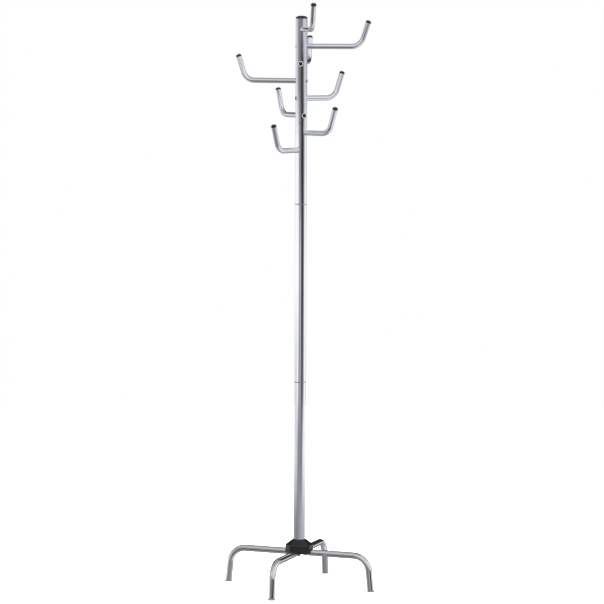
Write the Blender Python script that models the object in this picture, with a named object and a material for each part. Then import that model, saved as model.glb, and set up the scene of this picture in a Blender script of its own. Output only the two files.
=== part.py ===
"""Free-standing coat rack: a three-piece chromed post with eight tube hooks on a four-legged base.

The frame is metres, +Z up, with the origin on the floor under the post's axis.
The legs lie along +X, +Y, -X and -Y.
"""
import math

import bmesh
import bpy
from mathutils import Matrix, Vector

# Fits and facets
GAP = 0.0003                    # between pieces that touch
SLIP_GAP = 0.0004               # round a tube in its hole
POST_SIDES = 24
TUBE_SIDES = 12
BEND_STEPS = 7
DOME_STEPS = 3
SMOOTH_ANGLE = math.radians(40)
WELD_DISTANCE = 0.000001

# Post: three lengths of tube, screwed end to end
POST_RADIUS = 0.017
POST_WALL = 0.0012
POST_BOTTOM = 0.1403
LOWER_SEAM = 0.6072
UPPER_SEAM = 1.1283
POST_TOP = 1.6654
POST_BORE = POST_RADIUS - POST_WALL
POST_CAP_STEM = 0.012
POST_CAP_EDGE = 0.0016
POST_CAP_DOME = 0.0066

# Threaded inserts in the post's ends, and the M8 studs between them
INSERT_RADIUS = POST_BORE - GAP
INSERT_LENGTH = 0.026
FLANGE_THICKNESS = 0.0014
FLANGE_RADIUS = 0.0167
STUD_RADIUS = 0.004
STUD_HOLE = STUD_RADIUS + SLIP_GAP
STUD_REACH = 0.018

# Hooks: bent tubes that pass right through the post
HOOK_RADIUS = 0.0075
HOOK_WALL = 0.0015
HOOK_BORE = HOOK_RADIUS - HOOK_WALL
HOOK_TOP = 1.6355
HOOK_PITCH = 0.05
HOOK_FAR_END = 0.0172
HOOK_BEND_RADIUS = 0.035
HOOK_BEND_ANGLE = math.radians(72)
LONG_HOOK = (0.145, 0.0457)     # arm from the post's axis to the bend, and straight length after it
SHORT_HOOK = (0.0787, 0.048)
HOOKS = (                       # azimuth and tilt in degrees, and lengths, from the top down
    (-59.3, 0, LONG_HOOK),
    (20.7, 0, LONG_HOOK),
    (103.2, 1, LONG_HOOK),
    (181.7, 0, LONG_HOOK),
    (42.7, 0, SHORT_HOOK),
    (142.7, 0, SHORT_HOOK),
    (-19.3, 0, SHORT_HOOK),
    (-107.3, 0, SHORT_HOOK),
)
CAP_STEM = 0.009
CAP_RADIUS = 0.0081
CAP_HEIGHT = 0.0078
PLUG_LENGTH = 0.008
PLUG_DOME = 0.0004

# Legs: bent tubes on the arms of a steel spider
LEG_COUNT = 4
LEG_RADIUS = 0.01
LEG_WALL = 0.0012
LEG_BORE = LEG_RADIUS - LEG_WALL
LEG_HEIGHT = 0.1035
LEG_START = 0.0155
LEG_STRAIGHT_END = 0.17
LEG_BEND_RADIUS = 0.048
LEG_BEND_ANGLE = math.radians(84.2)
LEG_END_HEIGHT = 0.0044
FOOT_STEM = 0.014
FOOT_RADIUS = 0.0108

# Leg screws: they hold each leg on its peg, hidden under the hub cover
SCREW_PLACE = 0.027
SCREW_RADIUS = 0.0024
SCREW_HEAD_RADIUS = 0.0045
SCREW_HEAD_HEIGHT = 0.0022
SCREW_REACH = 0.0105
SCREW_SIDES = 10

# Spider, nut and washer
SPIDER_RADIUS = 0.0135
SPIDER_TOP = 0.1125
SPIDER_BOTTOM = 0.097
PEG_RADIUS = LEG_BORE - SLIP_GAP
PEG_ROOT = 0.0115
PEG_END = 0.045
NUT_POCKET_RADIUS = 0.0093
NUT_POCKET_TOP = 0.1042
WASHER_RADIUS = 0.008
WASHER_THICKNESS = 0.0012
NUT_RADIUS = 0.0075
NUT_HEIGHT = 0.006
NUT_SIDES = 6
STUD_BOTTOM = 0.0895

# Hub cover: an eight-sided moulding over the spider
HUB_SIDES = 8
HUB_TURN = math.pi / HUB_SIDES
HUB_RADIUS = 0.0412             # over the corners
HUB_WALL = 0.0027
HUB_RIM = 0.102
HUB_SHOULDER = 0.126
HUB_SLOPE_TOP = 0.1412
HUB_TOP = 0.1426
HUB_COLLAR_RADIUS = 0.0212
HUB_COLLAR_CHAMFER = 0.0012
HUB_CEILING = 0.1375
BOSS_RADIUS = 0.0125
SEAT_RADIUS = POST_RADIUS + SLIP_GAP
SEAT_FLOOR = POST_BOTTOM - GAP
LIP_RADIUS = 0.0134
LIP_START = 0.0362
LIP_END = 0.0395
TUNNEL_RADIUS = LEG_RADIUS + SLIP_GAP
TUNNEL_START = 0.0145
PAST_HUB = 0.06                 # where cutters end, clear of the hub
BELOW_HUB = 0.09

# Colours (linear) with metallic and roughness
CHROME = ((0.80, 0.81, 0.84, 1.0), 1.0, 0.08)
STEEL = ((0.42, 0.42, 0.43, 1.0), 1.0, 0.35)
BLACK_GLOSS = ((0.018, 0.018, 0.02, 1.0), 0.0, 0.28)
GREY_MATTE = ((0.24, 0.245, 0.25, 1.0), 0.0, 0.55)


def clear_scene():
    for item in list(bpy.data.objects):
        bpy.data.objects.remove(item, do_unlink=True)


def make_material(name, look):
    colour, metallic, roughness = look
    material = bpy.data.materials.new(name)
    material.use_nodes = True
    shader = material.node_tree.nodes["Principled BSDF"]
    shader.inputs["Base Color"].default_value = colour
    shader.inputs["Metallic"].default_value = metallic
    shader.inputs["Roughness"].default_value = roughness
    material.diffuse_color = colour
    return material


def finish_mesh(bm, name, look):
    """Close a bmesh into a mesh with faces pointing out, its own material and smooth sides."""
    bmesh.ops.recalc_face_normals(bm, faces=bm.faces)
    mesh = bpy.data.meshes.new(name)
    bm.to_mesh(mesh)
    bm.free()
    mesh.materials.append(make_material(name, look))
    mesh.shade_smooth()
    mesh.set_sharp_from_angle(angle=SMOOTH_ANGLE)
    return mesh


def place(name, mesh, parent=None, location=(0, 0, 0), rotation=(0, 0, 0)):
    item = bpy.data.objects.new(name, mesh)
    bpy.context.collection.objects.link(item)
    item.parent = parent
    item.location = location
    item.rotation_euler = rotation
    return item


def ring(bm, centre, heading, radius, sides):
    """A ring of corners round a point in the local XZ plane; heading is the tube's direction there."""
    across = Vector((-math.sin(heading), 0, math.cos(heading)))
    corners = []
    for index in range(sides):
        angle = 2 * math.pi * (index + 0.5) / sides
        offset = radius * (math.cos(angle) * across + math.sin(angle) * Vector((0, 1, 0)))
        corners.append(bm.verts.new(centre + offset))
    return corners


def bridge(bm, first, second):
    count = len(first)
    for index in range(count):
        after = (index + 1) % count
        bm.faces.new((first[index], first[after], second[after], second[index]))


def sweep(bm, stations, outer, bore, sides=TUBE_SIDES):
    """A round tube, or a solid bar where bore is 0, along (point, heading) stations."""
    skins = [[ring(bm, point, heading, outer, sides) for point, heading in stations]]
    if bore:
        skins.append([ring(bm, point, heading, bore, sides) for point, heading in stations])
    for rings in skins:
        for first, second in zip(rings, rings[1:]):
            bridge(bm, first, second)
    for end in (0, -1):
        if bore:
            bridge(bm, skins[0][end], skins[1][end])
        else:
            bm.faces.new(skins[0][end])


def bent_path(start, bend_start, bend_radius, bend_angle, rise):
    """Stations of a straight run along +X, one bend in the XZ plane and a second straight run.

    A positive bend_angle turns the tube up, and a negative one turns it down.
    """
    side = math.copysign(1, bend_angle)
    stations = [(Vector((start, 0, 0)), 0.0)]
    for step in range(BEND_STEPS + 1):
        heading = bend_angle * step / BEND_STEPS
        run = bend_radius * math.sin(abs(heading))
        lift = side * bend_radius * (1 - math.cos(heading))
        stations.append((Vector((bend_start + run, 0, lift)), heading))
    end = stations[-1][0] + rise * Vector((math.cos(bend_angle), 0, math.sin(bend_angle)))
    stations.append((end, bend_angle))
    return stations


def straight_path(start, end):
    return [(Vector((start, 0, 0)), 0.0), (Vector((end, 0, 0)), 0.0)]


def turn(bm, profile, sides):
    """Spin a profile of (radius, height) points about Z; it closes on the axis or on itself."""
    corners = [bm.verts.new((radius, 0, height)) for radius, height in profile]
    edges = [bm.edges.new(pair) for pair in zip(corners, corners[1:])]
    if profile[0][0] > 0:
        edges.append(bm.edges.new((corners[-1], corners[0])))
    half_facet = Matrix.Rotation(math.pi / sides, 3, "Z")
    bmesh.ops.rotate(bm, verts=corners, cent=(0, 0, 0), matrix=half_facet)
    bmesh.ops.spin(bm, geom=corners + edges, cent=(0, 0, 0), axis=(0, 0, 1),
                   angle=2 * math.pi, steps=sides, use_merge=True)
    bmesh.ops.remove_doubles(bm, verts=bm.verts, dist=WELD_DISTANCE)


def turned_mesh(name, profile, sides, look):
    bm = bmesh.new()
    turn(bm, profile, sides)
    return finish_mesh(bm, name, look)


def dome(radius, bottom, height):
    """Profile points of a low dome, from its edge to the axis."""
    points = []
    for step in range(DOME_STEPS + 1):
        angle = math.pi / 2 * step / DOME_STEPS
        points.append((radius * math.cos(angle), bottom + height * math.sin(angle)))
    points[-1] = (0.0, bottom + height)
    return points


def tube_profile(outer, bore, bottom, top):
    return [(outer, top), (outer, bottom), (bore, bottom), (bore, top)]


def cut(item, operation, bm, name):
    """Add a Boolean with its own hidden operand, built from bm in item's frame."""
    bmesh.ops.recalc_face_normals(bm, faces=bm.faces)
    mesh = bpy.data.meshes.new(name)
    bm.to_mesh(mesh)
    bm.free()
    tool = place(name, mesh, item.parent, item.location, item.rotation_euler)
    tool.hide_render = True
    tool.display_type = "WIRE"
    boolean = item.modifiers.new(name, "BOOLEAN")
    boolean.operation = operation
    boolean.solver = "EXACT"
    boolean.object = tool


def hook_turn(azimuth, tilt):
    return (0, -math.radians(tilt), math.radians(azimuth))


def hook_height(index):
    return HOOK_TOP - HOOK_PITCH * index


def build_post(rack):
    seam_half = FLANGE_THICKNESS / 2 + GAP
    lengths = (
        ("post_lower", POST_BOTTOM, LOWER_SEAM - seam_half),
        ("post_middle", LOWER_SEAM + seam_half, UPPER_SEAM - seam_half),
        ("post_upper", UPPER_SEAM + seam_half, POST_TOP),
    )
    for name, bottom, top in lengths:
        profile = tube_profile(POST_RADIUS, POST_BORE, bottom, top)
        place(name, turned_mesh(name, profile, POST_SIDES, CHROME), rack)
    drill_hook_holes(bpy.data.objects["post_upper"])
    edge = POST_TOP + GAP
    shoulder = edge + POST_CAP_EDGE
    profile = [(0.0, edge - POST_CAP_STEM), (INSERT_RADIUS, edge - POST_CAP_STEM),
               (INSERT_RADIUS, edge), (POST_RADIUS, edge)]
    profile += dome(POST_RADIUS, shoulder, POST_CAP_DOME)
    place("post_cap", turned_mesh("post_cap", profile, POST_SIDES, BLACK_GLOSS), rack)


def drill_hook_holes(post_upper):
    bm = bmesh.new()
    for index, (azimuth, tilt, _) in enumerate(HOOKS):
        corners_before = set(bm.verts)
        sweep(bm, straight_path(-2 * POST_RADIUS, 2 * POST_RADIUS), HOOK_RADIUS + SLIP_GAP, 0)
        added = [corner for corner in bm.verts if corner not in corners_before]
        turn_z = Matrix.Rotation(math.radians(azimuth), 4, "Z")
        tilt_y = Matrix.Rotation(-math.radians(tilt), 4, "Y")
        raise_z = Matrix.Translation((0, 0, hook_height(index)))
        bmesh.ops.transform(bm, matrix=raise_z @ turn_z @ tilt_y, verts=added)
    cut(post_upper, "DIFFERENCE", bm, "hook_holes")


def build_inserts(rack):
    """A flanged female insert below each seam, and a stud insert above it."""
    for place_name, seam in (("lower", LOWER_SEAM), ("upper", UPPER_SEAM)):
        flange_top = seam + FLANGE_THICKNESS / 2
        flange_bottom = seam - FLANGE_THICKNESS / 2
        profile = [(STUD_HOLE, flange_top), (FLANGE_RADIUS, flange_top),
                   (FLANGE_RADIUS, flange_bottom), (INSERT_RADIUS, flange_bottom),
                   (INSERT_RADIUS, flange_bottom - INSERT_LENGTH),
                   (STUD_HOLE, flange_bottom - INSERT_LENGTH)]
        name = f"joint_socket_{place_name}"
        place(name, turned_mesh(name, profile, POST_SIDES, STEEL), rack)
        base = flange_top + GAP
        profile = [(0.0, base + INSERT_LENGTH), (INSERT_RADIUS, base + INSERT_LENGTH),
                   (INSERT_RADIUS, base), (STUD_RADIUS, base),
                   (STUD_RADIUS, base - STUD_REACH), (0.0, base - STUD_REACH)]
        name = f"joint_stud_{place_name}"
        place(name, turned_mesh(name, profile, POST_SIDES, STEEL), rack)
    profile = tube_profile(INSERT_RADIUS, STUD_HOLE, POST_BOTTOM, POST_BOTTOM + INSERT_LENGTH)
    place("post_foot_insert", turned_mesh("post_foot_insert", profile, POST_SIDES, STEEL), rack)


def build_hooks(rack):
    cap_profile = [(0.0, -CAP_STEM), (HOOK_BORE - GAP, -CAP_STEM), (HOOK_BORE - GAP, GAP),
                   (HOOK_RADIUS, GAP)]
    cap_edge = GAP + CAP_HEIGHT / DOME_STEPS
    cap_profile += dome(CAP_RADIUS, cap_edge, CAP_HEIGHT - CAP_HEIGHT / DOME_STEPS)
    cap_mesh = turned_mesh("hook_cap", cap_profile, TUBE_SIDES, BLACK_GLOSS)
    plug_profile = [(0.0, -PLUG_LENGTH), (HOOK_BORE - GAP, -PLUG_LENGTH)]
    plug_profile += dome(HOOK_BORE - GAP, 0.0, PLUG_DOME)
    plug_mesh = turned_mesh("hook_plug", plug_profile, TUBE_SIDES, BLACK_GLOSS)
    hook_meshes = {}
    for index, (azimuth, tilt, lengths) in enumerate(HOOKS):
        arm, rise = lengths
        path = bent_path(-HOOK_FAR_END, arm, HOOK_BEND_RADIUS, HOOK_BEND_ANGLE, rise)
        if lengths not in hook_meshes:
            bm = bmesh.new()
            sweep(bm, path, HOOK_RADIUS, HOOK_BORE)
            hook_meshes[lengths] = finish_mesh(bm, "hook", CHROME)
        number = index + 1
        centre = (0, 0, hook_height(index))
        hook = place(f"hook_{number}", hook_meshes[lengths], rack, centre, hook_turn(azimuth, tilt))
        tip, heading = path[-1]
        place(f"hook_cap_{number}", cap_mesh, hook, tip, (0, math.pi / 2 - heading, 0))
        place(f"hook_plug_{number}", plug_mesh, hook, path[0][0], (0, -math.pi / 2, 0))


def leg_path():
    drop = LEG_BEND_RADIUS * (1 - math.cos(LEG_BEND_ANGLE))
    rise = (LEG_HEIGHT - LEG_END_HEIGHT - drop) / math.sin(LEG_BEND_ANGLE)
    return bent_path(LEG_START, LEG_STRAIGHT_END, LEG_BEND_RADIUS, -LEG_BEND_ANGLE, rise)


def foot_mesh():
    """A plug in the leg's end, with a flange cut flat along the floor; it is in the leg's frame."""
    tip, heading = leg_path()[-1]
    bm = bmesh.new()
    below_floor = 3 * LEG_END_HEIGHT
    profile = [(0.0, -FOOT_STEM), (LEG_BORE - GAP, -FOOT_STEM), (LEG_BORE - GAP, GAP),
               (FOOT_RADIUS, GAP), (FOOT_RADIUS, below_floor), (0.0, below_floor)]
    turn(bm, profile, TUBE_SIDES)
    lean = Matrix.Rotation(math.pi / 2 - heading, 4, "Y")
    bmesh.ops.transform(bm, matrix=Matrix.Translation(tip) @ lean, verts=bm.verts)
    everything = bm.verts[:] + bm.edges[:] + bm.faces[:]
    sliced = bmesh.ops.bisect_plane(bm, geom=everything, plane_co=(0, 0, -LEG_HEIGHT),
                                    plane_no=(0, 0, -1), clear_outer=True)
    rim = [part for part in sliced["geom_cut"] if isinstance(part, bmesh.types.BMEdge)]
    bmesh.ops.contextual_create(bm, geom=rim)
    return finish_mesh(bm, "foot", GREY_MATTE)


def screw_hole(bm):
    """A vertical bar where the leg screw goes, in the leg's frame."""
    drill = SCREW_RADIUS + SLIP_GAP
    top = 2 * LEG_RADIUS
    bottom = LEG_RADIUS - SCREW_REACH - GAP
    upright = Matrix.Translation((SCREW_PLACE, 0, (top + bottom) / 2))
    bmesh.ops.create_cone(bm, cap_ends=True, segments=SCREW_SIDES, radius1=drill, radius2=drill,
                          depth=top - bottom, matrix=upright)


def build_legs(rack):
    feet = foot_mesh()
    bm = bmesh.new()
    sweep(bm, leg_path(), LEG_RADIUS, LEG_BORE)
    legs = finish_mesh(bm, "leg", CHROME)
    head_bottom = LEG_RADIUS + GAP
    head_top = head_bottom + SCREW_HEAD_HEIGHT
    screw_profile = [(0.0, head_top), (SCREW_HEAD_RADIUS, head_top),
                     (SCREW_HEAD_RADIUS, head_bottom), (SCREW_RADIUS, head_bottom),
                     (SCREW_RADIUS, LEG_RADIUS - SCREW_REACH), (0.0, LEG_RADIUS - SCREW_REACH)]
    screws = turned_mesh("leg_screw", screw_profile, SCREW_SIDES, STEEL)
    for index in range(LEG_COUNT):
        number = index + 1
        turn_z = (0, 0, 2 * math.pi * index / LEG_COUNT)
        leg = place(f"leg_{number}", legs, rack, (0, 0, LEG_HEIGHT), turn_z)
        bm = bmesh.new()
        screw_hole(bm)
        cut(leg, "DIFFERENCE", bm, f"leg_screw_hole_{number}")
        place(f"foot_{number}", feet, leg)
        place(f"leg_screw_{number}", screws, leg, (SCREW_PLACE, 0, 0))


def round_the_hub(bm, make):
    """Run make once for each leg's direction, turned about the post's axis."""
    for index in range(LEG_COUNT):
        corners_before = set(bm.verts)
        make(bm)
        added = [corner for corner in bm.verts if corner not in corners_before]
        turn_z = Matrix.Rotation(2 * math.pi * index / LEG_COUNT, 4, "Z")
        bmesh.ops.transform(bm, matrix=turn_z, verts=added)


def radial_bars(start, end, radius):
    bm = bmesh.new()
    round_the_hub(bm, lambda each: sweep(each, straight_path(start, end), radius, 0))
    bmesh.ops.translate(bm, verts=bm.verts, vec=(0, 0, LEG_HEIGHT))
    return bm


def build_spider(rack):
    profile = [(0.0, SPIDER_TOP), (SPIDER_RADIUS, SPIDER_TOP),
               (SPIDER_RADIUS, SPIDER_BOTTOM), (0.0, SPIDER_BOTTOM)]
    spider = place("hub_spider", turned_mesh("hub_spider", profile, POST_SIDES, STEEL), rack)
    cut(spider, "UNION", radial_bars(PEG_ROOT, PEG_END, PEG_RADIUS), "spider_pegs")
    bm = bmesh.new()
    pocket = [(0.0, 2 * SPIDER_TOP), (STUD_HOLE, 2 * SPIDER_TOP), (STUD_HOLE, NUT_POCKET_TOP),
              (NUT_POCKET_RADIUS, NUT_POCKET_TOP), (NUT_POCKET_RADIUS, BELOW_HUB), (0.0, BELOW_HUB)]
    turn(bm, pocket, POST_SIDES)
    cut(spider, "DIFFERENCE", bm, "nut_pocket")
    bm = bmesh.new()
    round_the_hub(bm, screw_hole)
    bmesh.ops.translate(bm, verts=bm.verts, vec=(0, 0, LEG_HEIGHT))
    cut(spider, "DIFFERENCE", bm, "peg_screw_holes")


def build_clamp(rack):
    """The stud in the post's foot, and the washer and nut that pull the hub together."""
    stud_top = POST_BOTTOM + INSERT_LENGTH - GAP
    profile = [(0.0, stud_top), (STUD_RADIUS, stud_top), (STUD_RADIUS, STUD_BOTTOM), (0.0, STUD_BOTTOM)]
    place("hub_stud", turned_mesh("hub_stud", profile, POST_SIDES, STEEL), rack)
    washer_top = NUT_POCKET_TOP - GAP
    washer_bottom = washer_top - WASHER_THICKNESS
    profile = tube_profile(WASHER_RADIUS, STUD_HOLE, washer_bottom, washer_top)
    place("hub_washer", turned_mesh("hub_washer", profile, POST_SIDES, STEEL), rack)
    nut_top = washer_bottom - GAP
    nut_bottom = nut_top - NUT_HEIGHT
    bm = bmesh.new()
    profile = [(0.0, nut_top), (NUT_RADIUS, nut_top), (NUT_RADIUS, nut_bottom), (0.0, nut_bottom)]
    turn(bm, profile, NUT_SIDES)
    nut = place("hub_nut", finish_mesh(bm, "hub_nut", STEEL), rack)
    bm = bmesh.new()
    profile = [(0.0, 2 * nut_top), (STUD_HOLE, 2 * nut_top), (STUD_HOLE, 0.0), (0.0, 0.0)]
    turn(bm, profile, POST_SIDES)
    cut(nut, "DIFFERENCE", bm, "nut_hole")


def build_hub_cover(rack):
    outer = [(0.0, HUB_TOP), (HUB_COLLAR_RADIUS - HUB_COLLAR_CHAMFER, HUB_TOP),
             (HUB_COLLAR_RADIUS, HUB_SLOPE_TOP), (HUB_RADIUS, HUB_SHOULDER),
             (HUB_RADIUS, BELOW_HUB), (0.0, BELOW_HUB)]
    cover = place("hub_cover", turned_mesh("hub_cover", outer, HUB_SIDES, BLACK_GLOSS), rack)
    inner_radius = HUB_RADIUS - HUB_WALL
    hollow = [(0.0, HUB_CEILING), (HUB_COLLAR_RADIUS - HUB_WALL / 2, HUB_CEILING),
              (inner_radius, HUB_SHOULDER - HUB_WALL / 2), (inner_radius, 0.0), (0.0, 0.0)]
    bm = bmesh.new()
    turn(bm, hollow, HUB_SIDES)
    cut(cover, "DIFFERENCE", bm, "hub_hollow")
    boss_bottom = SPIDER_TOP + GAP
    boss_top = (HUB_CEILING + SEAT_FLOOR) / 2
    bm = bmesh.new()
    turn(bm, [(0.0, boss_top), (BOSS_RADIUS, boss_top), (BOSS_RADIUS, boss_bottom), (0.0, boss_bottom)],
         POST_SIDES)
    cut(cover, "UNION", bm, "hub_boss")
    cut(cover, "UNION", radial_bars(LIP_START, LIP_END, LIP_RADIUS), "tunnel_lips")
    bm = bmesh.new()
    seat = [(0.0, 2 * HUB_TOP), (SEAT_RADIUS, 2 * HUB_TOP), (SEAT_RADIUS, SEAT_FLOOR),
            (STUD_HOLE, SEAT_FLOOR), (STUD_HOLE, 0.0), (0.0, 0.0)]
    turn(bm, seat, POST_SIDES)
    cut(cover, "DIFFERENCE", bm, "post_seat")
    cut(cover, "DIFFERENCE", radial_bars(TUNNEL_START, PAST_HUB, TUNNEL_RADIUS), "leg_tunnels")
    bm = bmesh.new()
    turn(bm, [(0.0, HUB_RIM), (PAST_HUB, HUB_RIM), (PAST_HUB, 0.0), (0.0, 0.0)], HUB_SIDES)
    cut(cover, "DIFFERENCE", bm, "rim_trim")


def main():
    clear_scene()
    rack = bpy.data.objects.new("coat_rack", None)
    bpy.context.collection.objects.link(rack)
    build_post(rack)
    build_inserts(rack)
    build_hooks(rack)
    build_legs(rack)
    build_spider(rack)
    build_clamp(rack)
    build_hub_cover(rack)


main()
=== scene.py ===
"""Looks for the chromed coat rack: smooth tubes, moulded plastic and a white studio."""
import math

import bmesh
import bpy
from mathutils import Matrix, Vector


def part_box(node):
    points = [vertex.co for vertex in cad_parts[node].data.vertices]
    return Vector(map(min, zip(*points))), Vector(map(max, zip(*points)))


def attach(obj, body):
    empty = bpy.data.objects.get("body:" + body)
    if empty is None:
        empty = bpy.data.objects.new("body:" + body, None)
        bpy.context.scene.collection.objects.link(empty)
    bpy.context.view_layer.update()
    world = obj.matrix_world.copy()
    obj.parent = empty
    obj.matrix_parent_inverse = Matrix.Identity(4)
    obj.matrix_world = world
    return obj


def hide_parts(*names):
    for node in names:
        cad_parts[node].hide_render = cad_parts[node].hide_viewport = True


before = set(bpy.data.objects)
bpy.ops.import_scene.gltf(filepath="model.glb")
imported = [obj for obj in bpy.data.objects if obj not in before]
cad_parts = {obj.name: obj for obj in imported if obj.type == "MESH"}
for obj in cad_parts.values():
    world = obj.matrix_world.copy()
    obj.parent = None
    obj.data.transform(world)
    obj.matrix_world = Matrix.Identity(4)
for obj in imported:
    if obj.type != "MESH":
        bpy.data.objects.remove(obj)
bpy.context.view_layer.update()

# Lengths are in metres, except for the lens and the sensor, which are in millimetres

# Camera
VIEW_AZIMUTH = math.radians(20.7)
VIEW_DISTANCE = 9.0
VIEW_HEIGHT = 1.7446
VIEW_PITCH = math.radians(5.729)
VIEW_YAW = math.radians(0.031)
VIEW_ROLL = math.radians(0.266)
VIEW_REACH = 100.0
LENS = 184.75
SENSOR = 36.0

# Fits
GAP = 0.0003                    # round plugs, caps and inserts
SLIP_GAP = 0.0004               # round the post and the legs in the hub

# Post
POST_RADIUS = 0.017
POST_WALL = 0.0012
INSERT_BORE = 0.0044
INSERT_FLANGE = 0.0014          # thickness
POST_CAP_RIM = 0.0016
POST_CAP_LEAD_IN = (0.0006, 0.0015)

# Hooks: each is (where its bend starts, how long it is past the bend)
HOOK_COUNT = 8
LONG_HOOKS = 4                  # the first four are long
LONG_HOOK = (0.145, 0.0457)
SHORT_HOOK = (0.0787, 0.048)
HOOK_TILTS = {3: math.radians(1)}   # hooks whose arm rises from level
HOOK_RADIUS = 0.0075
HOOK_WALL = 0.0015
HOOK_BEND_RADIUS = 0.035
HOOK_BEND_ANGLE = math.radians(72)
HOOK_FAR_END = 0.0172           # how far it reaches past the post's axis
HOOK_BEAD = 0.0004              # how far the far end's edges are rounded
HOOK_CAP_RADIUS = 0.0081
HOOK_CAP_STEM = 0.009
HOOK_CAP_LEAD_IN = (0.0006, 0.0012)
HOOK_CAP_ROUND = 0.0005
HOOK_CAP_ROUND_INSET = 0.0002   # from the tube's skin to the centre of the cap's lower round
HOOK_CAP_SIDE = (0.0022, 0.0026)    # heights between which the cap is widest
HOOK_CAP_DOME = 0.0052
HOOK_PLUG_DEPTH = 0.008
HOOK_PLUG_DOME = 0.0004

# Legs and feet
LEG_COUNT = 4
LEG_RADIUS = 0.01
LEG_WALL = 0.0012
LEG_START = 0.0155
LEG_STRAIGHT_END = 0.17
LEG_BEND_RADIUS = 0.048
LEG_BEND_ANGLE = math.radians(84.2)
LEG_END_HEIGHT = 0.0044         # of the middle of its cut end
FOOT_STEM = 0.014
FOOT_LEAD_IN = (0.0005, 0.0015)
FOOT_ROUND = 0.0006
FOOT_BLANK = 0.012              # how far past the leg's end it is drawn, before the floor cuts it

# Hub: its shoulder, slope and ceiling are heights over the floor
HUB_SIDES = 8
HUB_RADIUS = 0.0412
HUB_WALL = 0.0027
HUB_SHOULDER = 0.126
HUB_SLOPE_TOP = 0.1412
HUB_COLLAR_RADIUS = 0.0212
HUB_COLLAR_CHAMFER = 0.0012
HUB_CEILING = 0.1375
HUB_BEVEL = 0.0016
BELOW_HUB = 0.09                # the cover is drawn down to this height, then trimmed
PAST_HUB = 0.06                 # how far out the cutting tools reach
LIP_RADIUS = 0.0134             # of the raised rims round the tunnels
LIP_START = 0.0362
LIP_END = 0.0395
LIP_ROUND = 0.0012
TUNNEL_START = 0.0145
BOSS_RADIUS = 0.0125
STUD_HOLE = 0.0044
STUD_RADIUS = 0.004
THREAD_LENGTH = 0.03
THREAD_PITCH = 0.00125
THREAD_DEPTH = 0.00065

# Fineness
POST_SIDES = 96
TUBE_SIDES = 56
STUD_SIDES = 36
THREAD_ROWS = 10                # for each turn of the thread
BEND_STEPS = 28
ROUND_STEPS = 4
DOME_STEPS = 16
PLUG_DOME_STEPS = 8
BEVEL_SEGMENTS = 4
BEVEL_ANGLE = math.radians(20)
SMOOTH_ANGLE = math.radians(35)
EDGE_ROUND = 0.00035
FLATTENING = 0.04               # how much a bend squashes its tube
WELD_DISTANCE = 0.000001
SKIN_TOLERANCE = 0.0001
UPRIGHT_LIMIT = 0.2             # the largest Z in the normal of a face on the post's side

# Studio
FLOOR_RADIUS = 4.0
FLOOR_SIDES = 64
FLOOR_DROP = 0.0002
FLOOR_GLOW = 0.9
FLOOR_ROUGHNESS = 0.9
FLOOR_PAPER = (0.95, 0.95, 0.95, 1)
WHITE = (1.0, 1.0, 1.0, 1.0)
SOFTBOX_POWER = 600.0
SOFTBOX_SIZE = 5.0
SOFTBOX_HEIGHT = 6.0


# ---------------------------------------------------------------- mesh building

def ring(bm, centre, heading, radius, sides, squash=0.0):
    """A ring of corners round a point in the local XZ plane, flattened towards the bend's axis."""
    across = Vector((-math.sin(heading), 0, math.cos(heading)))
    side = Vector((0, 1, 0))
    corners = []
    for index in range(sides):
        angle = 2 * math.pi * index / sides
        flat = math.cos(angle) * (1 - squash)
        wide = math.sin(angle) * (1 + squash / 2)
        corners.append(bm.verts.new(centre + radius * (flat * across + wide * side)))
    return corners


def bridge(bm, first, second):
    """Join two rings with a band of faces."""
    count = len(first)
    for index in range(count):
        after = (index + 1) % count
        bm.faces.new((first[index], first[after], second[after], second[index]))


def bent_path(start, bend_start, bend_radius, bend_angle, length):
    """Stations (point, heading, squash) of a run along +X, a bend and a second straight run."""
    side = math.copysign(1, bend_angle)
    stations = [(Vector((start, 0, 0)), 0.0, 0.0)]
    for step in range(BEND_STEPS + 1):
        share = step / BEND_STEPS
        heading = bend_angle * share
        run = bend_radius * math.sin(abs(heading))
        lift = side * bend_radius * (1 - math.cos(heading))
        squash = FLATTENING * math.sin(math.pi * share)
        stations.append((Vector((bend_start + run, 0, lift)), heading, squash))
    onward = Vector((math.cos(bend_angle), 0, math.sin(bend_angle)))
    stations.append((stations[-1][0] + length * onward, bend_angle, 0.0))
    return stations


def rounded_end(point, heading, outward, size):
    """Rings that round a tube's cut end: where each lies and how much it takes off the skins."""
    forward = Vector((math.cos(heading), 0, math.sin(heading))) * outward
    steps = []
    for step in range(ROUND_STEPS + 1):
        angle = math.pi / 2 * step / ROUND_STEPS
        back = size * (1 - math.sin(angle))
        inset = size * (1 - math.cos(angle))
        steps.append((point - forward * back, inset))
    return steps


def sweep_tube(bm, stations, outer, bore, sides, start_round=EDGE_ROUND):
    """An open-ended tube with rounded cut ends, as one closed skin."""
    first, last = stations[0], stations[-1]
    start = rounded_end(first[0], first[1], -1, start_round)
    end = rounded_end(last[0], last[1], 1, EDGE_ROUND)
    loops = []
    for point, inset in reversed(start):
        loops.append(ring(bm, point, first[1], outer - inset, sides))
    for point, heading, squash in stations[1:-1]:
        loops.append(ring(bm, point, heading, outer, sides, squash))
    for point, inset in end:
        loops.append(ring(bm, point, last[1], outer - inset, sides))
    for point, inset in reversed(end):
        loops.append(ring(bm, point, last[1], bore + inset, sides))
    for point, heading, squash in reversed(stations[1:-1]):
        loops.append(ring(bm, point, heading, bore, sides, squash))
    for point, inset in start:
        loops.append(ring(bm, point, first[1], bore + inset, sides))
    for one, two in zip(loops, loops[1:] + loops[:1]):
        bridge(bm, one, two)


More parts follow.
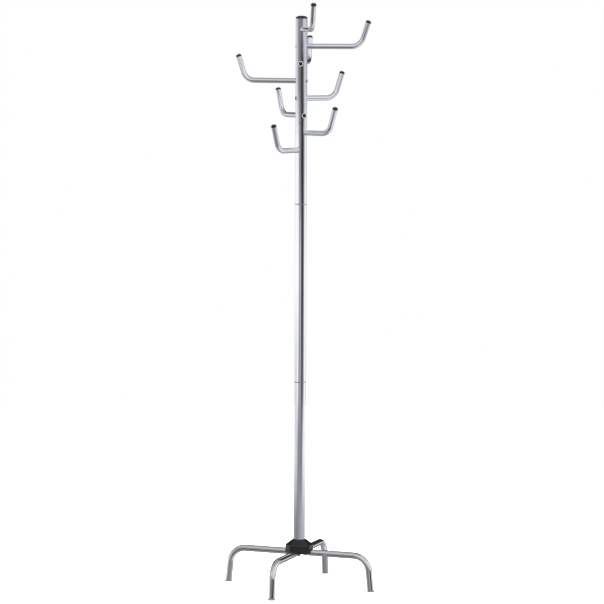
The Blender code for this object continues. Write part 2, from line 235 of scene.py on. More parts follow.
def turn(bm, profile, sides):
    """Spin a profile of (radius, height) points about Z; it closes on the axis or on itself."""
    corners = [bm.verts.new((radius, 0, height)) for radius, height in profile]
    edges = [bm.edges.new(pair) for pair in zip(corners, corners[1:])]
    if profile[0][0] > 0:
        edges.append(bm.edges.new((corners[-1], corners[0])))
    half_facet = Matrix.Rotation(math.pi / sides, 3, "Z")
    bmesh.ops.rotate(bm, verts=corners, cent=(0, 0, 0), matrix=half_facet)
    bmesh.ops.spin(bm, geom=corners + edges, cent=(0, 0, 0), axis=(0, 0, 1),
                   angle=2 * math.pi, steps=sides, use_merge=True)
    bmesh.ops.remove_doubles(bm, verts=bm.verts, dist=WELD_DISTANCE)


def arc(centre_radius, centre_height, radius, start, end):
    """Profile points of a round, from start to end in degrees, anticlockwise from +radius."""
    points = []
    for step in range(ROUND_STEPS + 1):
        angle = math.radians(start + (end - start) * step / ROUND_STEPS)
        points.append((max(0.0, centre_radius + radius * math.cos(angle)),
                       centre_height + radius * math.sin(angle)))
    return points


def dome(radius, bottom, height, steps=DOME_STEPS):
    """Profile points of a low dome, from its edge to the axis."""
    points = []
    for step in range(steps):
        angle = math.pi / 2 * step / steps
        points.append((radius * math.cos(angle), bottom + height * math.sin(angle)))
    return points + [(0.0, bottom + height)]


def stem(radius, bottom, lead_in, top):
    """Profile points of a plug's stem: its flat end, a tapered lead-in and its side."""
    inset, rise = lead_in
    return [(0.0, bottom), (radius - inset, bottom), (radius, bottom + rise), (radius, top)]


def rounded_side(outer, bottom, top):
    """Profile points of an outer skin with rounded edges, from the top down."""
    points = arc(outer - EDGE_ROUND, top - EDGE_ROUND, EDGE_ROUND, 90, 0)
    return points + arc(outer - EDGE_ROUND, bottom + EDGE_ROUND, EDGE_ROUND, 0, -90)


def to_object(bm, name):
    """Turn a bmesh into an object, smooth but for its corners."""
    bmesh.ops.recalc_face_normals(bm, faces=bm.faces)
    mesh = bpy.data.meshes.new(name)
    bm.to_mesh(mesh)
    bm.free()
    mesh.shade_smooth()
    mesh.set_sharp_from_angle(angle=SMOOTH_ANGLE)
    item = bpy.data.objects.new(name, mesh)
    bpy.context.collection.objects.link(item)
    return item


def turned(name, profile, sides=POST_SIDES):
    """A turned piece as an object."""
    bm = bmesh.new()
    turn(bm, profile, sides)
    return to_object(bm, name)


def rods(name, start, end, radius, places):
    """Round bars along each place's X axis, as one object."""
    bm = bmesh.new()
    for place in places:
        before = set(bm.verts)
        ends = [ring(bm, Vector((x, 0, 0)), 0.0, radius, TUBE_SIDES) for x in (start, end)]
        bridge(bm, *ends)
        for end_ring in ends:
            bm.faces.new(end_ring)
        added = [corner for corner in bm.verts if corner not in before]
        bmesh.ops.transform(bm, matrix=place, verts=added)
    return to_object(bm, name)


def bake_modifiers(item):
    """Replace an object's mesh with what its modifiers make of it."""
    depsgraph = bpy.context.evaluated_depsgraph_get()
    result = bpy.data.meshes.new_from_object(item.evaluated_get(depsgraph))
    item.modifiers.clear()
    item.data = result


def true_flats(item):
    """Shade large faces by their own normals, so that small rounds don't bend a tube's shine."""
    weighted = item.modifiers.new("flats", "WEIGHTED_NORMAL")
    weighted.keep_sharp = True
    bake_modifiers(item)
    return item


def bevelled(item, width):
    """Round an object's edges."""
    bevel = item.modifiers.new("edges", "BEVEL")
    bevel.width = width
    bevel.segments = BEVEL_SEGMENTS
    bevel.limit_method = "ANGLE"
    bevel.angle_limit = BEVEL_ANGLE
    bake_modifiers(item)
    return item


def combine(item, operation, tool):
    """Cut or join with a Boolean and keep only its result."""
    boolean = item.modifiers.new(operation, "BOOLEAN")
    boolean.operation = operation
    boolean.solver = "EXACT"
    boolean.object = tool
    bake_modifiers(item)
    bpy.data.objects.remove(tool)


def radial_normals(item, radius):
    """Give every face corner on the outer skin the normal of a true cylinder."""
    mesh = item.data
    normals = []
    for polygon in mesh.polygons:
        flat = polygon.normal
        upright = abs(flat.z) < UPRIGHT_LIMIT
        for corner in polygon.vertices:
            point = mesh.vertices[corner].co
            outward = Vector((point.x, point.y, 0))
            on_skin = abs(outward.length - radius) < SKIN_TOLERANCE and flat.dot(outward) > 0
            normals.append(outward.normalized() if upright and on_skin else flat.copy())
    mesh.normals_split_custom_set(normals)


def show(piece, node, material):
    """Dress a piece, let it ride on the rack's one body and stand in for a CAD node."""
    piece.data.materials.clear()
    piece.data.materials.append(material)
    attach(piece, "root")
    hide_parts(node)
    return piece


def centre_of(node):
    low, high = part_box(node)
    return (low + high) / 2


# ---------------------------------------------------------------- materials

class Graph:
    """A short way to write a tree of nodes."""

    def __init__(self, tree):
        self.tree = tree

    def add(self, kind, **settings):
        node = self.tree.nodes.new(kind)
        for key, value in settings.items():
            setattr(node, key, value)
        return node

    def feed(self, value, socket):
        """Give a socket a constant or another node's output."""
        if isinstance(value, (int, float, tuple)):
            socket.default_value = value
        else:
            self.tree.links.new(value, socket)

    def maths(self, operation, first, second=0.0):
        node = self.add("ShaderNodeMath", operation=operation)
        self.feed(first, node.inputs[0])
        self.feed(second, node.inputs[1])
        return node.outputs["Value"]

    def spread(self, value, band, result=(0.0, 1.0), curve="LINEAR"):
        """Map a value between the band's ends onto the result's ends."""
        node = self.add("ShaderNodeMapRange", interpolation_type=curve)
        self.feed(value, node.inputs["Value"])
        node.inputs["From Min"].default_value = band[0]
        node.inputs["From Max"].default_value = band[1]
        node.inputs["To Min"].default_value = result[0]
        node.inputs["To Max"].default_value = result[1]
        return node.outputs["Result"]

    def blend(self, amount, first, second, how="MIX"):
        node = self.add("ShaderNodeMix", data_type="RGBA", blend_type=how)
        self.feed(amount, node.inputs["Factor"])
        self.feed(first, node.inputs["A"])
        self.feed(second, node.inputs["B"])
        return node.outputs["Result"]


class Finish(Graph):
    """A material's nodes, in the piece's own frame."""

    def __init__(self, name):
        self.material = bpy.data.materials.new(name)
        self.material.use_nodes = True
        super().__init__(self.material.node_tree)
        self.shader = self.tree.nodes["Principled BSDF"]

    def set(self, name, value):
        """Give one of the shader's inputs a constant or a node's output."""
        self.feed(value, self.shader.inputs[name])

    def coordinate(self, output):
        return self.add("ShaderNodeTexCoord").outputs[output]

    def noise(self, scale, detail=3.0, stretch=(1, 1, 1), roughness=0.5):
        """Noise at a scale in cells for each metre, stretched by a factor along each axis."""
        mapping = self.add("ShaderNodeMapping")
        mapping.inputs["Scale"].default_value = stretch
        self.feed(self.coordinate("Object"), mapping.inputs["Vector"])
        node = self.add("ShaderNodeTexNoise")
        node.inputs["Scale"].default_value = scale
        node.inputs["Detail"].default_value = detail
        node.inputs["Roughness"].default_value = roughness
        self.feed(mapping.outputs["Vector"], node.inputs["Vector"])
        return node.outputs["Fac"]

    def along_x(self, output):
        """The X value of a texture coordinate in the piece's own frame."""
        split = self.add("ShaderNodeSeparateXYZ")
        self.feed(self.coordinate(output), split.inputs["Vector"])
        return split.outputs["X"]

    def bump(self, height, strength, distance):
        node = self.add("ShaderNodeBump")
        node.inputs["Strength"].default_value = strength
        node.inputs["Distance"].default_value = distance
        self.feed(height, node.inputs["Height"])
        self.set("Normal", node.outputs["Normal"])


# Patterns are in cells for each metre; a band is the part of their range over which they grow;
# a bump is its strength and its depth in metres
PATCHES = 9.0
PATCH_BAND = (0.35, 0.65)
SMUDGES = 28.0
SMUDGE_BAND = (0.5, 0.75)
HAIRLINES = 420.0
HAIRLINE_BAND = (0.6, 0.75)
HAIRLINE_ROUGHNESS = 0.02
WAVES = 22.0
SCRATCHES = 650.0
SCRATCH_DEPTH = 0.02            # as a share of the waves' depth
CHROME_BUMP = (0.18, 0.0002)
# painted highlight: the pale colour given to the hooks' far cut ends, in place of the shine on the
# tube wall's end
PAINTED_END_HIGHLIGHT = (0.86, 0.80, 0.70, 1)
PALE_FACING = -0.5              # faces whose normal has less X than this are cut ends
PALE_ROUGHNESS = 0.45
PALE_LOSS = 0.8                 # how much less metallic the cut end with the painted highlight is


def chrome_material(name, tints, roughness, grain, end_highlight_before=None):
    """Bright plate over drawn tube: faint waviness, hairline scratches and a few dull smudges.

    Before the point given by the last argument along the piece's own X, the cut end's face is
    satin and painted pale: a painted highlight on the end of the tube's wall.
    """
    make = Finish(name)
    make.set("Metallic", 1.0)
    colour = make.blend(make.spread(make.noise(PATCHES, detail=2.0), PATCH_BAND), *tints)
    smudges = make.noise(SMUDGES, detail=4.0, roughness=0.6)
    smudges = make.spread(smudges, SMUDGE_BAND, roughness)
    hairlines = make.noise(HAIRLINES, detail=2.0, stretch=grain)
    hairlines = make.spread(hairlines, HAIRLINE_BAND, (0.0, HAIRLINE_ROUGHNESS))
    rough = make.maths("ADD", smudges, hairlines)
    # painted highlight: the far cut end's face is painted pale, and also made satin and less
    # metallic
    if end_highlight_before is not None:
        facing_back = make.maths("LESS_THAN", make.along_x("Normal"), PALE_FACING)
        at_end = make.maths("LESS_THAN", make.along_x("Object"), end_highlight_before)
        end_highlight = make.maths("MULTIPLY", at_end, facing_back)
        colour = make.blend(end_highlight, colour, PAINTED_END_HIGHLIGHT)
        rough = make.maths("MAXIMUM", rough, make.maths("MULTIPLY", end_highlight, PALE_ROUGHNESS))
        make.set("Metallic", make.maths("SUBTRACT", 1.0, make.maths("MULTIPLY", end_highlight, PALE_LOSS)))
    make.set("Base Color", colour)
    make.set("Roughness", rough)
    waves = make.noise(WAVES, detail=1.0)
    scratches = make.noise(SCRATCHES, detail=2.0, stretch=grain)
    scratches = make.maths("MULTIPLY", scratches, SCRATCH_DEPTH)
    make.bump(make.maths("ADD", waves, scratches), *CHROME_BUMP)
    return make.material


CLOUDS = 35.0
RUBBED_PATCHES = 60.0
PLASTIC_BAND = (0.35, 0.7)
SPARK_GRAIN = 1800.0
FLOW_MARKS = 50.0
PLASTIC_DEPTH = 0.0002
PLASTIC_IOR = 1.5


def plastic_material(name, tints, roughness, relief):
    """Moulded plastic: fine spark-eroded grain, flow marks and rubbed patches."""
    make = Finish(name)
    make.set("IOR", PLASTIC_IOR)
    clouds = make.noise(CLOUDS, detail=4.0, roughness=0.6)
    make.set("Base Color", make.blend(make.spread(clouds, PLASTIC_BAND), *tints))
    make.set("Roughness", make.spread(make.noise(RUBBED_PATCHES), PLASTIC_BAND, roughness))
    grain = make.noise(SPARK_GRAIN, detail=2.0)
    flow = make.noise(FLOW_MARKS, detail=2.0, stretch=(1, 1, 3))
    make.bump(make.maths("ADD", grain, flow), relief, PLASTIC_DEPTH)
    return make.material


BLOOM = 160.0
BLOOM_BAND = (0.3, 0.7)
TURNING_MARKS = 900.0
ZINC_BUMP = (0.3, 0.0001)


def steel_material(name, tints, roughness):
    """Dull zinc plate with a crystalline bloom and turning marks."""
    make = Finish(name)
    make.set("Metallic", 1.0)
    bloom = make.noise(BLOOM, detail=4.0, roughness=0.65)
    make.set("Base Color", make.blend(make.spread(bloom, BLOOM_BAND), *tints))
    make.set("Roughness", make.spread(bloom, BLOOM_BAND, roughness))
    make.bump(make.noise(TURNING_MARKS, detail=2.0, stretch=(1, 1, 8)), *ZINC_BUMP)
    return make.material


CHROME_TINTS = ((0.86, 0.87, 0.92, 1), (0.91, 0.91, 0.93, 1))
LEG_TINTS = ((0.76, 0.765, 0.745, 1), (0.80, 0.805, 0.795, 1))
CAP_TINTS = ((0.006, 0.006, 0.007, 1), (0.014, 0.013, 0.013, 1))
HUB_TINTS = ((0.003, 0.004, 0.005, 1), (0.009, 0.008, 0.007, 1))
FOOT_TINTS = ((0.16, 0.165, 0.17, 1), (0.24, 0.24, 0.24, 1))
ZINC_TINTS = ((0.34, 0.34, 0.33, 1), (0.55, 0.55, 0.53, 1))
ALONG_POST = (8, 8, 0.3)
EVEN_GRAIN = (1, 1, 1)

post_chrome = chrome_material("post_chrome", CHROME_TINTS, roughness=(0.02, 0.06),
                              grain=ALONG_POST)
# the far cut end of each hook's tube gets a painted highlight
hook_chrome = chrome_material("hook_chrome", CHROME_TINTS, roughness=(0.015, 0.05),
                              grain=EVEN_GRAIN, end_highlight_before=HOOK_BEAD - HOOK_FAR_END)
leg_chrome = chrome_material("leg_chrome", LEG_TINTS, roughness=(0.015, 0.05), grain=EVEN_GRAIN)
cap_plastic = plastic_material("cap_plastic", CAP_TINTS, roughness=(0.25, 0.45), relief=0.12)
hub_plastic = plastic_material("hub_plastic", HUB_TINTS, roughness=(0.22, 0.4), relief=0.2)
foot_plastic = plastic_material("foot_plastic", FOOT_TINTS, roughness=(0.45, 0.7), relief=0.3)
zinc_steel = steel_material("zinc_steel", ZINC_TINTS, roughness=(0.28, 0.5))


# ---------------------------------------------------------------- post

def hook_frame(number):
    """Where a hook's own frame stands: on the post's axis at its arm's height, turned its way."""
    plug = centre_of(f"hook_plug_{number}")
    cap = centre_of(f"hook_cap_{number}")
    azimuth = math.atan2(cap.y - plug.y, cap.x - plug.x)
    tilt = HOOK_TILTS.get(number, 0.0)
    height = plug.z + Vector((plug.x, plug.y)).length * math.sin(tilt)
    turn_z = Matrix.Rotation(azimuth, 4, "Z")
    tilt_y = Matrix.Rotation(-tilt, 4, "Y")
    return Matrix.Translation((0, 0, height)) @ turn_z @ tilt_y


def build_post():
    bore = POST_RADIUS - POST_WALL
    for node in ("post_lower", "post_middle", "post_upper"):
        low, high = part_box(node)
        profile = rounded_side(POST_RADIUS, low.z, high.z) + [(bore, low.z), (bore, high.z)]
        piece = turned(f"{node}_tube", profile)
        if node == "post_upper":
            reach = 2 * POST_RADIUS
            places = [hook_frame(number) for number in range(1, HOOK_COUNT + 1)]
            combine(piece, "DIFFERENCE",
                    rods("hook_hole_tool", -reach, reach, HOOK_RADIUS + GAP, places))
        radial_normals(piece, POST_RADIUS)
        show(piece, node, post_chrome)
    for node in ("joint_socket_lower", "joint_socket_upper"):
        build_insert(node, bore - GAP)
    build_post_cap(bore - GAP)


def build_insert(node, body):
    """A threaded insert below a seam, with the flange whose edge shows."""
    low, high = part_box(node)
    under_flange = high.z - INSERT_FLANGE
    profile = rounded_side(high.x, under_flange, high.z)
    profile += [(body, under_flange), (body, low.z), (INSERT_BORE, low.z), (INSERT_BORE, high.z)]
    show(turned(f"{node}_insert", profile), node, zinc_steel)


def build_post_cap(body):
    low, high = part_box("post_cap")
    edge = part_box("post_upper")[1].z + GAP
    profile = stem(body, low.z, POST_CAP_LEAD_IN, edge)
    profile += arc(POST_RADIUS - EDGE_ROUND, edge + EDGE_ROUND, EDGE_ROUND, -90, 0)
    profile += dome(POST_RADIUS, edge + POST_CAP_RIM, high.z - edge - POST_CAP_RIM)
    show(turned("post_top_cap", profile), "post_cap", cap_plastic)


# ---------------------------------------------------------------- hooks

def hook_cap_profile(body):
    side_bottom, side_top = HOOK_CAP_SIDE
    points = stem(body, -HOOK_CAP_STEM, HOOK_CAP_LEAD_IN, GAP)
    points += arc(HOOK_RADIUS - HOOK_CAP_ROUND_INSET, GAP + HOOK_CAP_ROUND, HOOK_CAP_ROUND, -90, 0)
    points += [(HOOK_CAP_RADIUS, GAP + side_bottom)]
    points += dome(HOOK_CAP_RADIUS, GAP + side_top, HOOK_CAP_DOME)
    return points


def hook_plug_profile(body):
    points = [(0.0, -HOOK_PLUG_DEPTH), (body, -HOOK_PLUG_DEPTH), (body, -GAP)]
    return points + dome(body - GAP, 0.0, HOOK_PLUG_DOME, PLUG_DOME_STEPS)


def build_hooks():
    bore = HOOK_RADIUS - HOOK_WALL
    for number in range(1, HOOK_COUNT + 1):
        place = hook_frame(number)
        bend_start, length = LONG_HOOK if number <= LONG_HOOKS else SHORT_HOOK
        path = bent_path(-HOOK_FAR_END, bend_start, HOOK_BEND_RADIUS, HOOK_BEND_ANGLE, length)
        bm = bmesh.new()
        sweep_tube(bm, path, HOOK_RADIUS, bore, TUBE_SIDES, HOOK_BEAD)
        tube = true_flats(to_object(bm, f"hook_{number}_tube"))
        tube.matrix_world = place
        show(tube, f"hook_{number}", hook_chrome)
        tip, heading, _ = path[-1]
        lean = Matrix.Translation(tip) @ Matrix.Rotation(math.pi / 2 - heading, 4, "Y")
        cap = turned(f"hook_{number}_tip", hook_cap_profile(bore - GAP), TUBE_SIDES)
        cap.data.transform(place @ lean)
        show(cap, f"hook_cap_{number}", cap_plastic)
        back = Matrix.Translation(path[0][0]) @ Matrix.Rotation(-math.pi / 2, 4, "Y")
        plug = turned(f"hook_{number}_end_plug", hook_plug_profile(bore - GAP), TUBE_SIDES)
        plug.data.transform(place @ back)
        show(plug, f"hook_plug_{number}", cap_plastic)


# ---------------------------------------------------------------- legs and feet

def leg_height():
    """How high the legs' level runs are; leg_1 lies along X, so its Y size is its diameter."""
    low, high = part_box("leg_1")
    return high.z - (high.y - low.y) / 2


def leg_frame(number):
    """Where a leg's own frame stands: on the post's axis at the legs' height, turned its way."""
    foot = centre_of(f"foot_{number}")
    turn_z = Matrix.Rotation(math.atan2(foot.y, foot.x), 4, "Z")
    return Matrix.Translation((0, 0, leg_height())) @ turn_z


def leg_path():
    drop = LEG_BEND_RADIUS * (1 - math.cos(LEG_BEND_ANGLE))
    length = (leg_height() - LEG_END_HEIGHT - drop) / math.sin(LEG_BEND_ANGLE)
    return bent_path(LEG_START, LEG_STRAIGHT_END, LEG_BEND_RADIUS, -LEG_BEND_ANGLE, length)


def build_legs():
    bore = LEG_RADIUS - LEG_WALL
    path = leg_path()
    tip, heading, _ = path[-1]
    lean = Matrix.Translation(tip) @ Matrix.Rotation(math.pi / 2 - heading, 4, "Y")
    for number in range(1, LEG_COUNT + 1):
        bm = bmesh.new()
        sweep_tube(bm, path, LEG_RADIUS, bore, TUBE_SIDES)
        bmesh.ops.transform(bm, matrix=leg_frame(number), verts=bm.verts)
        tube = true_flats(to_object(bm, f"leg_{number}_tube"))
        show(tube, f"leg_{number}", leg_chrome)
        build_foot(number, bore - GAP, lean)


def build_foot(number, body, lean):
    """A plug in the leg's end, with a flange that is cut level with the floor."""
    low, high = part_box("foot_1")
    flange = (high.y - low.y) / 2
    profile = stem(body, -FOOT_STEM, FOOT_LEAD_IN, GAP)
    profile += arc(flange - FOOT_ROUND, GAP + FOOT_ROUND, FOOT_ROUND, -90, 0)
    profile += [(flange, FOOT_BLANK), (0.0, FOOT_BLANK)]
    bm = bmesh.new()
    turn(bm, profile, TUBE_SIDES)
    bmesh.ops.transform(bm, matrix=lean, verts=bm.verts)
    everything = bm.verts[:] + bm.edges[:] + bm.faces[:]
    sliced = bmesh.ops.bisect_plane(bm, geom=everything, plane_co=(0, 0, -leg_height()),
                                    plane_no=(0, 0, -1), clear_outer=True)
    rim = [part for part in sliced["geom_cut"] if isinstance(part, bmesh.types.BMEdge)]
    bmesh.ops.contextual_create(bm, geom=rim)
    bmesh.ops.transform(bm, matrix=leg_frame(number), verts=bm.verts)
    show(to_object(bm, f"foot_{number}_plug"), f"foot_{number}", foot_plastic)


# ---------------------------------------------------------------- hub

def build_hub():
    """The moulded cover: hollow, with a boss, four lipped tunnels and a seat for the post."""
    low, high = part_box("hub_cover")
    seat_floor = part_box("post_lower")[0].z - GAP
    boss_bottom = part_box("hub_spider")[1].z + GAP
    places = [leg_frame(number) for number in range(1, LEG_COUNT + 1)]
    outer = [(0.0, high.z), (HUB_COLLAR_RADIUS - HUB_COLLAR_CHAMFER, high.z),
             (HUB_COLLAR_RADIUS, HUB_SLOPE_TOP), (HUB_RADIUS, HUB_SHOULDER),
             (HUB_RADIUS, BELOW_HUB), (0.0, BELOW_HUB)]
    cover = bevelled(turned("hub_moulding", outer, HUB_SIDES), HUB_BEVEL)
    inner = HUB_RADIUS - HUB_WALL
    hollow = [(0.0, HUB_CEILING), (HUB_COLLAR_RADIUS - HUB_WALL / 2, HUB_CEILING),
              (inner, HUB_SHOULDER - HUB_WALL / 2), (inner, 0.0), (0.0, 0.0)]
    combine(cover, "DIFFERENCE", turned("hollow_tool", hollow, HUB_SIDES))
    boss_top = (HUB_CEILING + seat_floor) / 2
    boss = [(0.0, boss_top), (BOSS_RADIUS, boss_top), (BOSS_RADIUS, boss_bottom),
            (0.0, boss_bottom)]
    combine(cover, "UNION", turned("boss_tool", boss))
    lips = rods("lip_tool", LIP_START, LIP_END, LIP_RADIUS, places)
    combine(cover, "UNION", bevelled(lips, LIP_ROUND))
    seat_radius = POST_RADIUS + SLIP_GAP
    seat = [(0.0, 2 * high.z), (seat_radius, 2 * high.z), (seat_radius, seat_floor),
            (STUD_HOLE, seat_floor), (STUD_HOLE, 0.0), (0.0, 0.0)]
    combine(cover, "DIFFERENCE", turned("seat_tool", seat))
    tunnels = rods("tunnel_tool", TUNNEL_START, PAST_HUB, LEG_RADIUS + SLIP_GAP, places)
    combine(cover, "DIFFERENCE", tunnels)
    trim = [(0.0, low.z), (PAST_HUB, low.z), (PAST_HUB, 0.0), (0.0, 0.0)]
    combine(cover, "DIFFERENCE", turned("trim_tool", trim, HUB_SIDES))
    cover.data.shade_smooth()
    cover.data.set_sharp_from_angle(angle=SMOOTH_ANGLE)
    show(true_flats(cover), "hub_cover", hub_plastic)


def build_stud():
    """The clamping stud, with a real M8 thread on the end that shows."""
    low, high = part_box("hub_stud")
    bottom, top = low.z, low.z + THREAD_LENGTH
    rows = int((top - bottom) / THREAD_PITCH * THREAD_ROWS)
    bm = bmesh.new()
    loops = []
    for row in range(rows + 1):
        height = bottom + (top - bottom) * row / rows
        end_fade = min(1.0, (height - bottom) / THREAD_PITCH, (top - height) / THREAD_PITCH)
        chamfer = THREAD_DEPTH * max(0.0, 1 - (height - bottom) / THREAD_PITCH)
        corners = []
        for index in range(STUD_SIDES):
            phase = (height / THREAD_PITCH - index / STUD_SIDES) % 1.0
            groove = THREAD_DEPTH * (1 - abs(2 * phase - 1))
            radius = STUD_RADIUS - groove * end_fade - chamfer
            angle = 2 * math.pi * index / STUD_SIDES
            corners.append(bm.verts.new((radius * math.cos(angle), radius * math.sin(angle),
                                         height)))
        loops.append(corners)
    loops.append([bm.verts.new((corner.co.x, corner.co.y, high.z)) for corner in loops[-1]])
    for one, two in zip(loops, loops[1:]):
        bridge(bm, one, two)
    bm.faces.new(loops[0])
    bm.faces.new(loops[-1])
    show(to_object(bm, "hub_stud_threaded"), "hub_stud", zinc_steel)


def dress_hidden_steel():
    """The hardware inside keeps its CAD shape and gets the zinc-plate finish."""
    names = ["joint_stud_lower", "joint_stud_upper", "post_foot_insert", "hub_spider",
             "hub_washer", "hub_nut"]
    names += [f"leg_screw_{number}" for number in range(1, LEG_COUNT + 1)]
    for name in names:
        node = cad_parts[name]
        node.data.materials.clear()
        node.data.materials.append(zinc_steel)


# ---------------------------------------------------------------- studio

def build_camera():
    data = bpy.data.cameras.new("camera")
    data.lens = LENS
    data.sensor_width = SENSOR
    data.clip_end = VIEW_REACH
    camera = bpy.data.objects.new("camera", data)
    bpy.context.collection.objects.link(camera)
    place = Vector((math.sin(VIEW_AZIMUTH), -math.cos(VIEW_AZIMUTH), 0)) * VIEW_DISTANCE
    place.z = VIEW_HEIGHT
    turn_z = Matrix.Rotation(VIEW_AZIMUTH - VIEW_YAW, 4, "Z")
    tip_x = Matrix.Rotation(math.pi / 2 - VIEW_PITCH, 4, "X")
    roll_z = Matrix.Rotation(VIEW_ROLL, 4, "Z")
    camera.matrix_world = Matrix.Translation(place) @ turn_z @ tip_x @ roll_z
    bpy.context.scene.camera = camera


# The studio as the chrome sees it. Each strip is the tones round the horizon at one height, as
# (degrees, grey): 0 is the direction from the rack towards the front, where the camera stands, 90
# is to the right as seen from there, and 180 is behind the rack. The grey of the floor and of the
# backdrop's parts changes with height; beyond the backdrop, behind the rack, the room is dark.
FAR_FLOOR = ((-180, 0.32), (-60, 0.32), (-20, 0.28), (20, 0.45), (50, 0.75), (110, 0.7),
             (150, 0.32), (180, 0.32))
FLOOR_SHADE = ((-180, 0.3), (-110, 0.42), (-70, 0.42), (-50, 0.26), (-28, 0.26), (-12, 0.04),
               (14, 0.04), (30, 0.45), (50, 0.8), (105, 0.85), (135, 0.35), (180, 0.3))
FLOOR_RISE = ((-180, 0.3), (-110, 0.42), (-70, 0.45), (-54, 0.2), (-49, 0.05), (-39, 0.05),
              (-33, 0.2), (14, 0.24), (30, 0.45), (50, 0.8), (105, 0.85), (135, 0.35), (180, 0.3))
EVEN_FLOOR = ((-180, 0.3), (-166, 0.4), (-152, 0.07), (-138, 0.07), (-128, 0.8), (-114, 0.7),
              (-100, 0.3), (-54, 0.3), (-49, 0.04), (-39, 0.04), (-33, 0.3), (46, 0.3), (62, 0.5),
              (105, 0.5), (122, 0.75), (134, 0.6), (144, 0.3), (156, 0.12), (168, 0.2), (180, 0.3))
FLOOR_EDGE = ((-180, 0.4), (-76, 0.29), (-62, 0.22), (-30, 0.28), (10, 0.37), (61, 0.5),
              (99, 0.52), (125, 0.5), (160, 0.6), (180, 0.6))
BACKDROP_FOOT = ((-180, 0.95), (-86, 0.74), (-62, 0.7), (-50, 0.62), (-35, 0.27), (-5, 0.3),
                 (25, 0.22), (45, 0.29), (73, 0.95), (142, 1.0), (152, 0.35), (180, 0.35))
LOW_WALL = ((-180, 0.6), (-150, 0.6), (-140, 1.1), (-86, 0.66), (-51, 1.1), (-36, 0.72),
            (-15, 0.15), (3, 0.7), (14, 0.17), (40, 0.1), (61, 0.16), (84, 0.85), (99, 1.06),
            (142, 1.0), (152, 0.35), (180, 0.35))
MID_WALL = ((-180, 0.6), (-150, 0.6), (-140, 1.12), (-43, 1.06), (-31, 0.78), (-19, 0.28),
            (-7, 0.42), (3, 0.85), (14, 0.1), (34, 0.035), (50, 0.08), (65, 0.24), (80, 1.0),
            (142, 1.1), (152, 0.35), (180, 0.35))
HIGH_WALL = ((-180, 0.5), (-150, 0.5), (-140, 1.05), (-55, 1.02), (-38, 0.65), (-30, 0.28),
             (-19, 0.2), (-7, 0.34), (4, 0.1), (12, 0.03), (28, 0.03), (46, 0.06), (63, 0.34),
             (80, 0.85), (142, 0.95), (152, 0.35), (180, 0.35))
BELOW_EYE = ((-180, 0.4), (-150, 0.4), (-140, 0.85), (-110, 0.78), (-83, 0.68), (-69, 0.42),
             (-55, 0.24), (-31, 0.23), (-19, 0.17), (-7, 0.1), (4, 0.03), (24, 0.05), (39, 0.17),
             (52, 0.36), (65, 0.65), (90, 0.72), (130, 0.4), (180, 0.4))
EYE_LEVEL = ((-180, 0.04), (-164, 0.04), (-150, 0.75), (-100, 0.66), (-83, 0.6), (-69, 0.34),
             (-55, 0.25), (-25, 0.28), (4, 0.15), (15, 0.2), (27, 0.36), (40, 0.72), (52, 0.75),
             (79, 0.6), (117, 0.56), (134, 0.6), (143, 0.04), (180, 0.04))
BACKDROP_TOP = ((-180, 0.03), (-160, 0.03), (-144, 0.6), (-90, 0.6), (-63, 0.6), (-56, 0.05),
                (-42, 0.05), (-37, 0.65), (0, 0.6), (40, 0.75), (100, 0.8), (128, 0.7),
                (138, 0.03), (180, 0.03))
ABOVE_BACKDROP = ((-180, 0.04), (-138, 0.04), (-120, 0.4), (-80, 0.5), (-58, 0.8), (0, 0.78),
                  (40, 0.9), (95, 0.95), (120, 0.6), (138, 0.04), (180, 0.04))
SOFTBOX_BANK = ((-180, 0.36), (-120, 0.36), (-80, 0.55), (-30, 0.58), (0, 0.85), (60, 0.75),
                (90, 0.8), (120, 0.36), (180, 0.36))
CEILING = ((-180, 0.4), (180, 0.4))
# (elevation in degrees, strip), from the floor up; between two heights the strips blend
STUDIO = (
    (-72, FAR_FLOOR), (-62, FAR_FLOOR), (-57, FLOOR_SHADE), (-38, FLOOR_SHADE),
    (-32, FLOOR_RISE), (-27, FLOOR_RISE), (-22, EVEN_FLOOR), (-12.5, EVEN_FLOOR),
    (-10, FLOOR_EDGE), (-8.45, BACKDROP_FOOT), (-7.2, LOW_WALL), (-5.2, MID_WALL),
    (-3.0, HIGH_WALL), (-1.5, BELOW_EYE), (-0.5, EYE_LEVEL), (0.8, EYE_LEVEL),
    (3, BACKDROP_TOP), (15, BACKDROP_TOP), (22, ABOVE_BACKDROP), (38, ABOVE_BACKDROP),
    (46, SOFTBOX_BANK), (68, SOFTBOX_BANK), (80, CEILING),
)
WARM_DARKS = (1.06, 0.98, 0.90, 1.0)
COOL_MIDS = (0.965, 0.985, 1.055, 1.0)
WARM_WHITES = (1.0, 1.0, 0.985, 1.0)
DARK_TO_MID = (0.08, 0.3)
MID_TO_WHITE = (0.75, 1.0)


class World(Graph):
    """The world's nodes."""

    def __init__(self):
        world = bpy.data.worlds.new("studio")
        bpy.context.scene.world = world
        world.use_nodes = True
        super().__init__(world.node_tree)
        self.tree.nodes.clear()

    def tones(self, around, stops):
        """A strip of greys round the horizon."""
        node = self.add("ShaderNodeValToRGB")
        elements = node.color_ramp.elements
        while len(elements) < len(stops):
            elements.new(0.5)
        for element, (degrees, grey) in zip(elements, stops):
            element.position = (degrees + 180) / 360
            element.color = (grey, grey, grey, 1.0)
        self.feed(around, node.inputs["Fac"])
        return node.outputs["Color"]


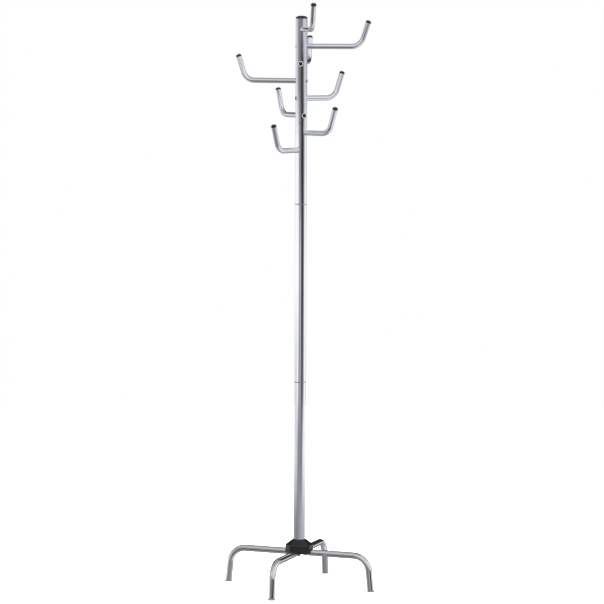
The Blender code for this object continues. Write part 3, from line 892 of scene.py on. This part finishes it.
def build_world():
    """White for the camera; for everything else the studio's walls, floor and ceiling."""
    world = World()
    direction = world.add("ShaderNodeTexCoord").outputs["Generated"]
    to_front = world.add("ShaderNodeVectorRotate", rotation_type="Z_AXIS")
    to_front.inputs["Angle"].default_value = -VIEW_AZIMUTH
    world.feed(direction, to_front.inputs["Vector"])
    split = world.add("ShaderNodeSeparateXYZ")
    world.feed(to_front.outputs["Vector"], split.inputs["Vector"])
    towards = world.maths("MULTIPLY", split.outputs["Y"], -1.0)
    azimuth = world.maths("ARCTAN2", split.outputs["X"], towards)
    around = world.maths("ADD", world.maths("MULTIPLY", azimuth, 0.5 / math.pi), 0.5)
    elevation = world.maths("MULTIPLY", world.maths("ARCSINE", split.outputs["Z"]), 180 / math.pi)
    below, studio = STUDIO[0][0], world.tones(around, STUDIO[0][1])
    for level, stops in STUDIO[1:]:
        rise = world.spread(elevation, (below, level), curve="SMOOTHSTEP")
        studio = world.blend(rise, studio, world.tones(around, stops))
        below = level
    mids = world.spread(studio, DARK_TO_MID, curve="SMOOTHSTEP")
    whites = world.spread(studio, MID_TO_WHITE, curve="SMOOTHSTEP")
    tint = world.blend(whites, world.blend(mids, WARM_DARKS, COOL_MIDS), WARM_WHITES)
    studio = world.blend(1.0, studio, tint, "MULTIPLY")
    seen = world.add("ShaderNodeLightPath").outputs["Is Camera Ray"]
    background = world.add("ShaderNodeBackground")
    world.feed(world.blend(seen, studio, WHITE), background.inputs["Color"])
    output = world.add("ShaderNodeOutputWorld")
    world.feed(background.outputs["Background"], output.inputs["Surface"])


def build_floor():
    """A white paper floor, too bright to show an edge or more than a trace of shadow."""
    bm = bmesh.new()
    bmesh.ops.create_circle(bm, cap_ends=True, segments=FLOOR_SIDES, radius=FLOOR_RADIUS)
    floor = to_object(bm, "floor")
    floor.location.z = -FLOOR_DROP
    floor.visible_glossy = False
    paper = Finish("floor_paper")
    paper.set("Base Color", FLOOR_PAPER)
    paper.set("Roughness", FLOOR_ROUGHNESS)
    paper.set("Specular IOR Level", 0.0)
    paper.set("Emission Color", WHITE)
    paper.set("Emission Strength", FLOOR_GLOW)
    floor.data.materials.append(paper.material)


def build_light():
    data = bpy.data.lights.new("overhead_softbox", "AREA")
    data.shape = "DISK"
    data.size = SOFTBOX_SIZE
    data.energy = SOFTBOX_POWER
    light = bpy.data.objects.new("overhead_softbox", data)
    bpy.context.collection.objects.link(light)
    light.location = (0.0, 0.0, SOFTBOX_HEIGHT)
    light.visible_camera = False
    light.visible_glossy = False


bpy.context.scene.view_settings.view_transform = "Standard"
build_post()
build_hooks()
build_legs()
build_hub()
build_stud()
dress_hidden_steel()
build_floor()
build_light()
build_world()
build_camera()
